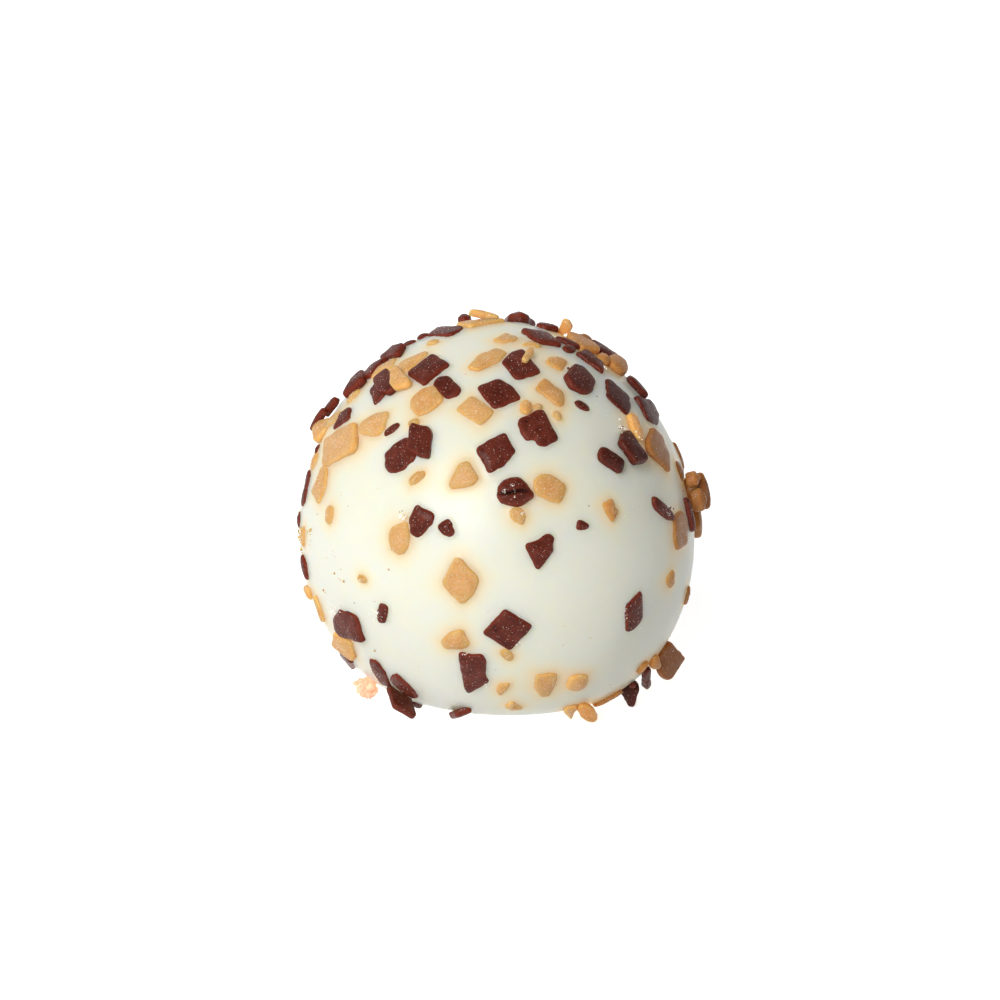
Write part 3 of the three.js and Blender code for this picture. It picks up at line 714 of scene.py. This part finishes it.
@dataclass(frozen=True)
class CaramelFinish:
    """Sandy caramel: tan with golden edges and a painted glow along them, fine pale grains, light in it, and
    painted shade on shaded flakes.
    """

    tan: Colour = screen(240, 183, 118)
    honey: Colour = screen(226, 160, 88)
    painted_caramel_shade: Colour = screen(124, 62, 18)
    edge: Colour = screen(236, 174, 88)
    sugar: Colour = screen(255, 244, 224)
    glow: Colour = screen(255, 206, 130)
    amber: Colour = screen(120, 58, 10)

    def material(self) -> Material:
        """Return the finish as a material."""
        shader = new_shader("caramel")
        edge = shader.painted("edge")
        tone = shader.painted("tone")
        patch = shader.cloud(1.3, 3.0)
        sand = shader.cloud(0.2, 3.0)
        speck = shader.step(shader.grains(0.24), 0.34, 0.14) * shader.step(sand, 0.46, 0.54)
        colour = shader.layers(
            self.tan,
            (shader.step(patch + 0.15 * tone, 0.3, 0.8), self.honey),
            (edge * 0.5, self.edge),
            # painted shade: a little in the sand's hollows, and fully on flakes with a set tone
            (shader.step(sand, 0.5, 0.4) * 0.1, self.painted_caramel_shade),
            (shader.step(tone, 0.3, 2.0), self.painted_caramel_shade),
            (speck * (0.75 - 0.25 * tone), self.sugar),
        )
        # painted glow along the edges: pale on lit flakes, dim amber on flakes with a set tone
        lit = shader.mix(shader.step(tone, 0.3, 1.0), self.glow, self.amber)
        return shader.finish({
            "Base Color": colour,
            "Roughness": 0.36 + 0.3 * (sand - 0.5),
            "Subsurface Weight": 0.8,
            "Subsurface Radius": (1.0, 0.62, 0.3),
            "Subsurface Scale": 1.8 * MM,
            "Specular IOR Level": 0.12,
            "Coat Weight": 0.12,
            "Coat Roughness": 0.16,
            "Emission Color": shader.mix(edge, BLACK, lit),
            "Emission Strength": 0.12,
            "Normal": shader.relief((patch, 0.1), (sand + 0.6 * speck, 0.09)),
        })


@dataclass(frozen=True)
class SugarFinish:
    """Pale sugar, pink where it is heaped, clear enough to glint, and with a painted glow of its own."""

    pale: Colour = screen(255, 246, 232)
    blush: Colour = screen(255, 208, 172)
    rose: Colour = screen(252, 186, 152)

    def material(self) -> Material:
        """Return the finish as a material."""
        shader = new_shader("sugar")
        fine = shader.cloud(0.12, 2.0)
        heaped = shader.mix(shader.step(shader.cloud(0.8, 2.0), 0.35, 0.65), self.blush, self.rose)
        colour = shader.mix(shader.painted("blush"), self.pale, heaped)
        return shader.finish({
            "Base Color": colour,
            "Roughness": 0.22 + 0.2 * fine,
            "Subsurface Weight": 0.6,
            "Subsurface Radius": (1.0, 0.8, 0.65),
            "Subsurface Scale": 0.8 * MM,
            # painted glow: the sugar gives off light of its own, standing in for light through its grains
            "Emission Color": colour,
            "Emission Strength": 0.3,
            "Normal": shader.relief((fine, 0.02)),
        })


@dataclass
class WhiteShell:
    """The white chocolate: a fine skin over the whole ball, drawn up a little where flakes stick in it."""

    ball: Ball
    flakes: dict[Kind, list[Flake]]
    splits: int = 96
    waviness: float = 0.05
    touching_lift: float = 0.35
    flat_tilt: float = 12.0
    meniscus_rise: float = 0.16
    meniscus_reach: float = 0.45
    contact_reach: float = 0.35
    halo_reach: float = 1.5
    halo_strength: float = 0.66
    lifted_halo: float = 0.4

    def net(self) -> tuple[Array, Array]:
        """Divide an icosahedron's faces evenly.

        Returns:
            The net's unit points and its triangles.
        """
        golden = (1 + sqrt(5)) / 2
        quarter = [(0, one, other * golden) for one in (-1, 1) for other in (-1, 1)]
        corners = [np.roll(corner, turn) for corner in quarter for turn in range(3)]
        steps = [(i, j) for i in range(self.splits + 1) for j in range(self.splits + 1 - i)]
        number = {step: index for index, step in enumerate(steps)}
        shares = np.array([(self.splits - i - j, i, j) for i, j in steps])
        upright = [[(i, j), (i + 1, j), (i, j + 1)] for i, j in steps if i + j < self.splits]
        hanging = [[(i + 1, j), (i + 1, j + 1), (i, j + 1)] for i, j in steps if i + j < self.splits - 1]
        cells = np.array([[number[step] for step in cell] for cell in upright + hanging])
        places, triangles = [], []
        for side in combinations(corners, 3):
            if max(norm(one - other) for one, other in combinations(side, 2)) < 2.1:
                turned = side if det(side) > 0 else side[::-1]
                triangles.append(cells + len(steps) * len(places))
                places.append(shares @ np.array(turned))
        loose = np.concatenate(places)
        loose = loose / norm(loose, axis=1, keepdims=True)
        _, kept, shared = np.unique(np.round(loose, 6), axis=0, return_index=True, return_inverse=True)
        return loose[kept], shared.reshape(-1)[np.concatenate(triangles)]

    def skin(self) -> tuple[Array, Array, dict[str, Array]]:
        """Shape the skin round its flakes.

        Returns:
            Its points, its triangles and its fields "stain" and "contact", the latter the mask of painted contact
            shade round dark flakes.
        """
        units, triangles = self.net()
        ground = units * self.ball.reach(units)[:, None] + self.ball.centre
        rise = self.waviness * uneven(ground, 9.0)
        clean, contact, lifted = np.ones(len(units)), np.zeros(len(units)), np.zeros(len(units))
        for kind, flakes in self.flakes.items():
            for flake in flakes:
                unit = self.ball.direction(flake.lon, flake.lat)
                near = np.flatnonzero(units @ unit > cos(radians(8 + 1.4 * flake.long)))
                gap = outline_gap(self.ball.seat(flake).within(ground[near])[:, :2], flake.corners)
                touching = flake.lift < self.touching_lift
                if kind is Kind.CARAMEL:
                    reach = self.halo_reach * (0.55 + 0.11 * flake.long)
                    stain = self.halo_strength * np.exp(-((gap / reach) ** 1.2) * 1.5)
                    clean[near] *= 1 - (1.0 if touching else self.lifted_halo) * stain
                elif touching:
                    # mask of painted contact shade round dark flakes that touch the skin
                    contact[near] = np.maximum(contact[near], np.exp(-((gap / self.contact_reach) ** 2)))
                if touching and flake.tilt < self.flat_tilt:
                    pull = np.clip(1 - gap / self.meniscus_reach, 0, 1) ** 2
                    lifted[near] = np.maximum(lifted[near], pull * self.meniscus_rise)
        return ground + units * (rise + lifted)[:, None], triangles, {"stain": 1 - clean, "contact": contact}

    def build(self) -> Object:
        """Return the skin as a finished piece."""
        points, triangles, fields = self.skin()
        stock = MeshStock()
        stock.add(points, triangles, **fields)
        piece = stock.make("white_chocolate_shell", WhiteChocolateFinish().material())
        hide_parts(SOLID)
        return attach(piece, BODY)


@dataclass(frozen=True)
class Body:
    """One small closed body: its points, its triangles and the fields that its finish reads."""

    points: Array
    triangles: Array
    fields: dict[str, Array]


@dataclass(frozen=True)
class FlakeShaper:
    """Shapes rounded, uneven broken plates."""

    spacing: float = 0.25
    edge_round: float = 0.38
    foot_round: float = 0.2
    corner_wear: float = 0.45
    ripple: float = 0.03
    bumps: float = 0.06
    crowning: float = 0.1
    crease_depth: float = 0.5
    crease_width: float = 0.2
    crease_slope: float = -0.55
    corner_steps: int = 7
    outline_steps: tuple[int, int] = (16, 80)
    top_shares: tuple[float, ...] = (0.12, 0.25, 0.38, 0.5, 0.61, 0.72, 0.82, 0.92)
    edge_angles: tuple[float, ...] = (80, 62, 44, 26, 8, 0, -45, -90)

    def outline(self, flake: Flake, draw: Generator) -> Array:
        """Wear and ripple a flake's outline.

        Args:
            flake: The flake.
            draw: Its own draws.

        Returns:
            Evenly spaced points of the worn outline, as long and as wide as the flake.
        """
        corners, path = flake.corners, []
        for before, corner, after in zip(np.roll(corners, 1, axis=0), corners, np.roll(corners, -1, axis=0)):
            into, out = before - corner, after - corner
            sides = norm(into), norm(out)
            wear = min(self.corner_wear * flake.thick, 0.42 * min(sides))
            start, end = corner + into / sides[0] * wear, corner + out / sides[1] * wear
            for share in np.linspace(0, 1, self.corner_steps):
                path.append((1 - share) ** 2 * start + 2 * share * (1 - share) * corner + share**2 * end)
        closed = np.array([*path, path[0]])
        lengths = np.concatenate([[0], np.cumsum(norm(np.diff(closed, axis=0), axis=1))])
        count = int(np.clip(lengths[-1] / self.spacing, *self.outline_steps))
        shares = np.arange(count) / count
        even = np.column_stack([np.interp(shares * lengths[-1], lengths, closed[:, axis]) for axis in (0, 1)])
        wave = np.zeros(count)
        for turns in range(3, 13):
            wave += draw.normal() / turns**0.5 * np.sin(turns * shares * 2 * pi + draw.uniform(0, 6.3))
        outward = even / norm(even, axis=1, keepdims=True)
        even = even + outward * (wave * self.ripple * min(1.0, flake.wide / 3))[:, None]
        span, full = np.ptp(even, axis=0), np.ptp(corners, axis=0)
        return (even - even.min(0)) / span * full + corners.min(0)

    def section(self, flake: Flake) -> list[tuple[float, float, float, float]]:
        """Work out a flake's section from its top to its bottom.

        Args:
            flake: The flake.

        Returns:
            For each ring: the inset from the outline, the share of the way to the outline that it keeps, the
            height, and the angle that the surface faces above the level.
        """
        top = min(self.edge_round * flake.thick, 0.24 * flake.wide)
        foot = min(self.foot_round, 0.15 * flake.wide)
        crowning = self.crowning * flake.thick**2
        rings = [(top, share, flake.thick - crowning * share**3, 90.0) for share in self.top_shares]
        for angle in self.edge_angles:
            bend = radians(angle)
            inset, drop = 1 - cos(bend), 1 - sin(bend)
            height = flake.thick - crowning - top * drop if angle > 0 else foot * (2 - drop)
            rings.append((inset * (top if angle > 0 else foot), 1.0, height, angle))
        return [*rings, (foot, 0.5, 0.0, -90.0)]

    def crease(self, flake: Flake, points: Array) -> Array:
        """Return how deep a flake's points lie in its crease, from 0 to 1, and 0 where it has none."""
        if flake.crease is None:
            return np.zeros(len(points))
        along, across = points[:, 0], points[:, 1]
        line = flake.crease * flake.wide + self.crease_slope * along + 0.12 * np.sin(along * 1.9)
        inside = 1 / (1 + np.exp((np.abs(along) - 0.42 * flake.long) / 0.12))
        return np.exp(-(((across - line) / self.crease_width) ** 2)) * inside

    def shape(self, flake: Flake, draw: Generator) -> Body:
        """Shape one flake in its own frame.

        Args:
            flake: The flake.
            draw: Its own draws.

        Returns:
            The body, with how near each point is to a worn edge as "edge", and how deep in a crease as "crease".
        """
        outline = self.outline(flake, draw)
        count = len(outline)
        distance = norm(outline, axis=1)
        outward = outline / distance[:, None]
        up = np.array([[0.0, 0.0, 1.0]])
        points, facing, edge = [up * flake.thick], [up], [np.zeros(1)]
        section = self.section(flake)
        for inset, share, height, angle in section:
            level, rise = cos(radians(angle)), sin(radians(angle))
            ring = outward * ((distance - inset) * share)[:, None]
            points.append(np.column_stack([ring, np.full(count, height)]))
            facing.append(np.column_stack([outward * level, np.full(count, rise)]))
            edge.append(np.full(count, level if share == 1 and angle > 0 else 0.0))
        body, out = np.concatenate([*points, 0 * up]), np.concatenate([*facing, -up])
        shift = draw.uniform(0, 90)
        swell = self.bumps * (uneven(body, 1.5, shift) + 0.3 * uneven(body, 0.6, shift + 5))
        crease = self.crease(flake, body) * (out[:, 2] > 0.2)
        body = body + out * swell[:, None] - up * (self.crease_depth * crease)[:, None]
        fields = {"edge": np.concatenate([*edge, [0.0]]), "crease": crease}
        return Body(body, self.rings(count, len(section)), fields)

    @staticmethod
    def rings(count: int, rows: int) -> Array:
        """Return the triangles between rings of so many points, closed at both ends by a single point."""
        near, end = 1 + np.arange(count), np.full(count, 1 + rows * count)
        onward = np.roll(near, -1)
        triangles = [(0 * near, near, onward)]
        for row in range(0, (rows - 1) * count, count):
            triangles.append((row + near, row + near + count, row + onward + count))
            triangles.append((row + near, row + onward + count, row + onward))
        last = (rows - 1) * count
        triangles.append((end, last + onward, last + near))
        return np.concatenate([np.column_stack(corners) for corners in triangles])


@dataclass(frozen=True)
class GrainShaper:
    """Shapes small uneven grains."""

    detail: int = 1
    unevenness: float = 0.28

    def shape(self, size: Array, draw: Generator) -> Body:
        """Shape one grain round the origin.

        Args:
            size: Its half lengths along three axes.
            draw: Its own draws.

        Returns:
            The grain.
        """
        corners = np.array([(1, 0, 0), (-1, 0, 0), (0, 1, 0), (0, -1, 0), (0, 0, 1), (0, 0, -1)], float)
        faces = [(0, 2, 4), (2, 1, 4), (1, 3, 4), (3, 0, 4), (2, 0, 5), (1, 2, 5), (3, 1, 5), (0, 3, 5)]
        for _ in range(self.detail):
            corners, faces = self.divide(corners, faces)
        reach = 1 + self.unevenness * draw.uniform(-1, 1, len(corners))
        axes, _ = qr(draw.normal(size=(3, 3)))
        axes = axes * np.sign(det(axes))
        return Body(corners * reach[:, None] * size @ axes.T, np.array(faces), {})

    @staticmethod
    def divide(corners: Array, faces: list[tuple[int, int, int]]) -> tuple[Array, list]:
        """Divide each face of a unit body into four and return its corners and faces."""
        points, middles, made = list(corners), {}, []
        for face in faces:
            halves = []
            for a, b in zip(face, (*face[1:], face[0])):
                pair = (min(a, b), max(a, b))
                if pair not in middles:
                    middles[pair] = len(points)
                    middle = points[a] + points[b]
                    points.append(middle / norm(middle))
                halves.append(middles[pair])
            made += [(face[0], halves[0], halves[2]), (face[1], halves[1], halves[0])]
            made += [(face[2], halves[2], halves[1]), tuple(halves)]
        return np.array(points), made


@dataclass(frozen=True)
class CrumbSpreader:
    """Lays crumbs on the ball for one mesh, round given spots and thinly strewn all over it."""

    ball: Ball
    stock: MeshStock
    seed: int
    fields: dict[str, float]
    lowest: float = -40.0
    fine: float = 0.12

    def lay(self, spot: tuple[float, float, float], size: float, draw: Generator) -> None:
        """Add one crumb.

        Args:
            spot: Its longitude, its latitude and how high above the ball it lies.
            size: About half its width.
            draw: The draws for its shape.
        """
        lon, lat, height = spot
        middle = self.ball.surface(lon, lat) + self.ball.direction(lon, lat) * (height + 0.35 * size)
        crumb = GrainShaper(int(size > self.fine)).shape(size * draw.uniform(0.6, 1.4, 3), draw)
        self.stock.add(crumb.points + middle, crumb.triangles, **self.fields)

    def heap(self, crumbs: Sequence[Crumbs]) -> None:
        """Add the crumbs round given spots."""
        draw = default_rng(self.seed)
        scale = degrees(1 / self.ball.width)
        for patch in crumbs:
            for _ in range(patch.count):
                east, north = draw.normal(size=2) * patch.reach * scale
                lon = patch.lon + east / cos(radians(patch.lat))
                self.lay((lon, patch.lat + north, patch.height), patch.size * draw.uniform(0.5, 1.5), draw)

    def strew(self, count: int, size: float) -> None:
        """Add so many crumbs of about this size, strewn evenly over the ball."""
        draw = default_rng(self.seed)
        for _ in range(count):
            lat = degrees(asin(draw.uniform(sin(radians(self.lowest)), 1)))
            self.lay((draw.uniform(-180, 180), lat, 0.0), size * draw.uniform(0.4, 1.3), draw)


@dataclass
class FlakeCoat:
    """All flakes of one kind with their crumbs, and the sugar grains that stick to them."""

    ball: Ball
    kind: Kind
    flakes: list[Flake]
    finish: CocoaFinish | CaramelFinish
    slot: str
    crumbs: Sequence[Crumbs]
    strewn_crumbs: int
    seed: int
    grains: MeshStock
    grain_density: float
    grain_size: tuple[float, float] = (0.02, 0.055)
    shaded_tone: float = 0.85
    shaded_share: float = 0.2

    def sprinkle(self, flake: Flake, body: Body, seat: Seat, draw: Generator) -> None:
        """Stick sugar grains to a flake, fewer where it is dark.

        Args:
            flake: The flake.
            body: The flake's body in its own frame.
            seat: Where the flake sits.
            draw: The flake's own draws.
        """
        upper = body.points[body.points[:, 2] > 0.8 * flake.thick]
        density = self.grain_density * (self.shaded_share if flake.tone > self.shaded_tone else 1.0)
        for spot in draw.choice(upper, draw.poisson(density * flake.long * flake.wide)):
            size = draw.uniform(*self.grain_size) * draw.uniform(0.6, 1.4, 3)
            grain = GrainShaper(0).shape(size, draw)
            nudge = draw.uniform(-0.25, 0.25, 3) * (1, 1, 0)
            placed = seat.place(grain.points + spot * (0.94, 0.94, 1) + nudge)
            self.grains.add(placed, grain.triangles, blush=0.0)

    def build(self) -> Object:
        """Return all the flakes as one finished piece."""
        stock = MeshStock()
        for index, flake in enumerate(self.flakes):
            draw = default_rng([self.seed, index])
            body = FlakeShaper().shape(flake, draw)
            seat = self.ball.seat(flake)
            # A flake's set tone is painted shade; the other flakes get a random tone.
            tone = flake.tone or draw.uniform(-1, 0.2)
            stock.add(seat.place(body.points), body.triangles, tone=tone, **body.fields)
            self.sprinkle(flake, body, seat, draw)
        spreader = CrumbSpreader(self.ball, stock, self.seed, {"tone": 0.0, "edge": 0.4, "crease": 0.0})
        spreader.heap(self.crumbs)
        spreader.strew(self.strewn_crumbs, 0.08)
        piece = stock.make(f"{self.kind.value}_flakes", self.finish.material())
        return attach(piece, BODY)


@dataclass
class SugarGrains:
    """Loose sugar: a grainy lump that hangs at the foot, dust on the ball, and the fine grains on the flakes."""

    ball: Ball
    grains: MeshStock
    lump: Flake
    seed: int = 71
    count: int = 110
    dust: int = 260

    def gather(self) -> None:
        """Heap the lump's grains."""
        draw = default_rng(self.seed)
        seat = self.ball.seat(self.lump)
        half = np.array([self.lump.long, self.lump.wide, self.lump.thick]) / 2
        middle = (0, 0, half[2])
        core = GrainShaper(2, 0.06).shape(half * 0.8, draw)
        self.grains.add(seat.place(core.points + middle), core.triangles, blush=1.0)
        for _ in range(self.count):
            way = draw.normal(size=3)
            way = way / norm(way) * draw.uniform(0.68, 0.9)
            grain = GrainShaper(1).shape(draw.uniform(0.2, 0.42, 3), draw)
            self.grains.add(seat.place(grain.points + way * half + middle), grain.triangles, blush=1.0)

    def build(self) -> Object:
        """Return the sugar as one finished piece."""
        self.gather()
        spreader = CrumbSpreader(self.ball, self.grains, self.seed, {"blush": 0.0})
        spreader.heap(SUGAR_CRUMBS)
        spreader.strew(self.dust, 0.05)
        piece = self.grains.make("sugar_grains", SugarFinish().material())
        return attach(piece, BODY)


@dataclass(frozen=True)
class Lamp:
    """A far, soft lamp: its place seen from the ball, how wide it looks, its strength, and if gloss mirrors it."""

    name: str
    azimuth: float
    elevation: float
    spread: float
    strength: float
    mirrored: bool = True

    def hang(self) -> None:
        """Hang the lamp."""
        data = bpy.data.lights.new(self.name, "SUN")
        data.energy, data.angle = self.strength, radians(self.spread)
        lamp = linked(self.name, data)
        towards = Vector(Ball.direction(self.azimuth, self.elevation))
        lamp.rotation_euler = towards.to_track_quat("Z", "Y").to_euler()
        lamp.visible_glossy = self.mirrored


@dataclass(frozen=True)
class Stage:
    """A plain pale floor, soft light and a camera at the photograph's angle."""

    elevation: float = 14.0
    away: float = 366.6
    lens: float = 100.0
    sensor: float = 36.0
    picture: int = 1000
    ball_at: tuple[float, float] = (497.0, 535.0)
    floor_side: float = 8000.0
    floor_glow: float = 0.6
    sky_light: float = 0.1
    backdrop_light: float = 0.72
    bounce_light: float = 0.5
    lamps: tuple[Lamp, ...] = (
        Lamp("key_lamp", -23.0, 27.0, 36.0, 2.6),
        Lamp("side_lamp", -85.0, 20.0, 50.0, 0.38),
        Lamp("rim_lamp", 150.0, 8.0, 30.0, 0.6, mirrored=False),
    )

    def camera(self, ball: Ball) -> None:
        """Set up a camera that sees the ball's centre where the photograph shows it."""
        pitch = radians(self.elevation)
        look = np.array([0, cos(pitch), -sin(pitch)])
        up = np.array([0, sin(pitch), cos(pitch)])
        scale = self.away * self.sensor / self.lens / self.picture
        right = (self.picture / 2 - self.ball_at[0]) * scale
        raised = (self.ball_at[1] - self.picture / 2) * scale
        data = bpy.data.cameras.new("camera")
        data.lens, data.sensor_width = self.lens, self.sensor
        data.clip_start, data.clip_end = 0.01, 50
        camera = linked("camera", data)
        camera.location = (ball.centre - look * self.away + np.array([right, 0, 0]) + up * raised) * MM
        camera.rotation_euler = (radians(90 - self.elevation), 0, 0)
        bpy.context.scene.camera = camera

    def floor(self) -> None:
        """Lay the floor."""
        half = self.floor_side / 2 * MM
        corners = [(-half, -half, 0), (half, -half, 0), (half, half, 0), (-half, half, 0)]
        mesh = bpy.data.meshes.new("floor")
        mesh.from_pydata(corners, [], [(0, 1, 2, 3)])
        shader = new_shader("pale_floor")
        tint = shader.cloud(400.0)
        mesh.materials.append(shader.finish({
            "Base Color": shader.mix(tint, screen(252, 252, 252), screen(255, 255, 255)),
            "Roughness": 0.8,
            "Specular IOR Level": 0.1,
            "Emission Color": (1, 1, 1, 1),
            "Emission Strength": self.floor_glow,
        }))
        floor = linked("floor", mesh)
        floor.visible_diffuse = False

    def sky(self) -> None:
        """Surround the stage with pale light, brighter from a backdrop behind the ball and from the floor."""
        world = bpy.data.worlds.new("studio")
        shader = Shader(world)
        heading = shader.node("ShaderNodeTexCoord", {}, {}, "Generated")
        depth, height = (shader.node("ShaderNodeSeparateXYZ", {}, {0: heading}, axis) for axis in "YZ")
        behind = self.backdrop_light * shader.step(depth, 0.1, 0.8)
        below = self.bounce_light * shader.step(height, 0.1, -0.7)
        sockets = {"Color": (1, 1, 1, 1), "Strength": self.sky_light + behind + below}
        pale = shader.node("ShaderNodeBackground", {}, sockets)
        shader.node("ShaderNodeOutputWorld", {}, {"Surface": pale})
        bpy.context.scene.world = world

    def build(self, ball: Ball) -> None:
        """Set up the camera, the floor and the light."""
        self.camera(ball)
        self.floor()
        for lamp in self.lamps:
            lamp.hang()
        self.sky()
        bpy.context.scene.view_settings.view_transform = "Standard"


def main() -> None:
    """Build the looks piece by piece."""
    logging.basicConfig(level=logging.INFO, format="%(name)s: %(message)s")
    ball = Ball()
    shown = {Kind.COCOA: COCOA_FLAKES, Kind.CARAMEL: CARAMEL_FLAKES}
    strewn = Strewing().strew(ball, COCOA_FLAKES + CARAMEL_FLAKES)
    flakes = {kind: shown[kind] + strewn[kind] for kind in Kind}
    Stage().build(ball)
    sugar = MeshStock()
    dark, tan = flakes.values()
    builders = (
        WhiteShell(ball, flakes),
        FlakeCoat(ball, Kind.COCOA, dark, CocoaFinish(), "dark_flakes", COCOA_CRUMBS, 30, 11, sugar, 0.9),
        FlakeCoat(ball, Kind.CARAMEL, tan, CaramelFinish(), "caramel_flakes", CARAMEL_CRUMBS, 40, 29, sugar, 3.2),
        SugarGrains(ball, sugar, SUGAR_LUMP),
    )
    for builder in builders:
        piece = builder.build()
        log.info("%s: %d triangles", piece.name, len(piece.data.polygons))


if __name__ == "__main__":
    main()
